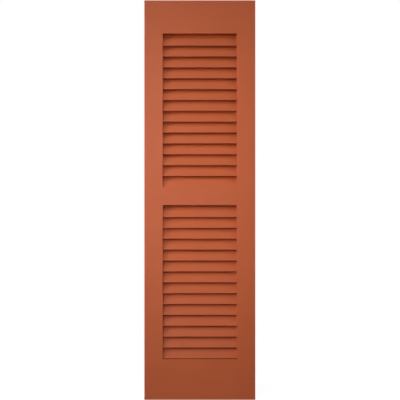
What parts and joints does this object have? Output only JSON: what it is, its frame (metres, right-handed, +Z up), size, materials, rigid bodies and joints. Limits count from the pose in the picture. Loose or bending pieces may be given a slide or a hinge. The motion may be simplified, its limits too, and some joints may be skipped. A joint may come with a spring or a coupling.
{
  "type": "louvered shutter",
  "caption": "Tall fixed louvered window shutter: a painted wooden frame with a top, middle and bottom rail around two equal banks of sloping slats.",
  "frame": {"origin": "centre of the middle rail's back face, on the wall", "axes": "+X to the right as seen from in front of the wall, +Y into the wall, +Z up"},
  "size_m": [0.381, 0.0318, 1.3715],
  "materials": {
    "frame_paint": "smooth softwood boards in satin terracotta exterior paint",
    "slat_paint": "smooth thin softwood slats in the same satin terracotta paint"
  },
  "bodies": {
    "root": {"left_stile": "frame_paint", "right_stile": "frame_paint", "top_rail": "frame_paint", "middle_rail": "frame_paint", "bottom_rail": "frame_paint", "upper_slat_01": "slat_paint", "upper_slat_02": "slat_paint", "upper_slat_03": "slat_paint", "upper_slat_04": "slat_paint", "upper_slat_05": "slat_paint", "upper_slat_06": "slat_paint", "upper_slat_07": "slat_paint", "upper_slat_08": "slat_paint", "upper_slat_09": "slat_paint", "upper_slat_10": "slat_paint", "upper_slat_11": "slat_paint", "upper_slat_12": "slat_paint", "upper_slat_13": "slat_paint", "upper_slat_14": "slat_paint", "lower_slat_01": "slat_paint", "lower_slat_02": "slat_paint", "lower_slat_03": "slat_paint", "lower_slat_04": "slat_paint", "lower_slat_05": "slat_paint", "lower_slat_06": "slat_paint", "lower_slat_07": "slat_paint", "lower_slat_08": "slat_paint", "lower_slat_09": "slat_paint", "lower_slat_10": "slat_paint", "lower_slat_11": "slat_paint", "lower_slat_12": "slat_paint", "lower_slat_13": "slat_paint", "lower_slat_14": "slat_paint"}
  },
  "joints": []
}
